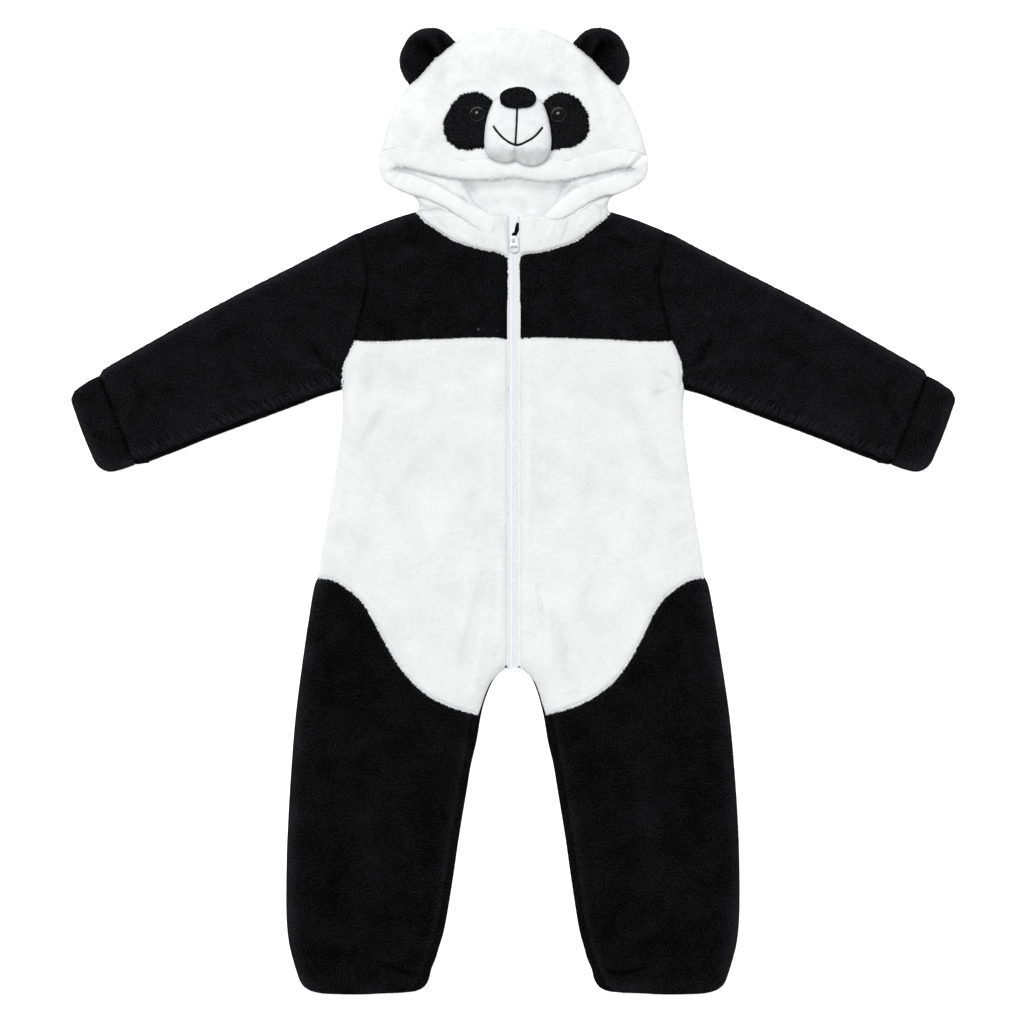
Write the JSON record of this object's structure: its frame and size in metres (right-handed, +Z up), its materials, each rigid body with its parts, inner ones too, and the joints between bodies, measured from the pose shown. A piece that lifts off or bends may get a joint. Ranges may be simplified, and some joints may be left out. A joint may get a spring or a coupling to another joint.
{
  "type": "panda onesie laid flat",
  "caption": "Child's hooded plush onesie with a panda face, laid flat on its back, with a full-length front zip and a hinged pull tab",
  "frame": {"origin": "the middle of the garment's outline, on the surface that it lies on", "axes": "+Y to the crown of the hood, +X to the wearer's left, +Z up from the surface, out of the garment's front"},
  "size_m": [0.9664, 1.063, 0.0513],
  "materials": {
    "black_plush": "short-haired black plush",
    "white_plush": "short-haired white plush",
    "white_short_plush": "close-cut white plush",
    "black_short_plush": "close-cut black plush",
    "zip_tape": "woven white zip tape with a moulded coil",
    "painted_metal": "light grey paint, half gloss",
    "black_eye_plastic": "polished black"
  },
  "bodies": {
    "root": {"back_body": "white_plush", "back_yoke": "black_plush", "brim_left": "white_plush", "brim_right": "white_plush", "cuff_left": "black_plush", "cuff_right": "black_plush", "ear_back_left": "black_plush", "ear_back_right": "black_plush", "ear_front_left": "black_plush", "ear_front_right": "black_plush", "eye_left": "black_eye_plastic", "eye_patch_left": "black_short_plush", "eye_patch_right": "black_short_plush", "eye_right": "black_eye_plastic", "front_body_left": "white_plush", "front_body_right": "white_plush", "front_yoke_left": "black_plush", "front_yoke_right": "black_plush", "hood_back_left": "white_plush", "hood_back_right": "white_plush", "hood_face_left": "white_plush", "hood_face_right": "white_plush", "hood_lining_left": "white_plush", "hood_lining_right": "white_plush", "leg_back_left": "black_plush", "leg_back_right": "black_plush", "leg_front_left": "black_plush", "leg_front_right": "black_plush", "muzzle": "white_short_plush", "neck_left": "white_plush", "neck_right": "white_plush", "nose": "black_plush", "sleeve_left": "black_plush", "sleeve_right": "black_plush", "zip_binding_left": "white_plush", "zip_binding_right": "white_plush", "zip_slider": "painted_metal", "zip_tape_left": "zip_tape", "zip_tape_right": "zip_tape"},
    "pull": {"zip_pull": "painted_metal"}
  },
  "joints": [
    {"name": "pull_tab_hinge", "type": "hinge", "parent": "root", "child": "pull", "pos_m": [0.0005, 0.3002, 0.0104], "axis": [-1, 0, 0], "range_deg": [0, 160]}
  ]
}
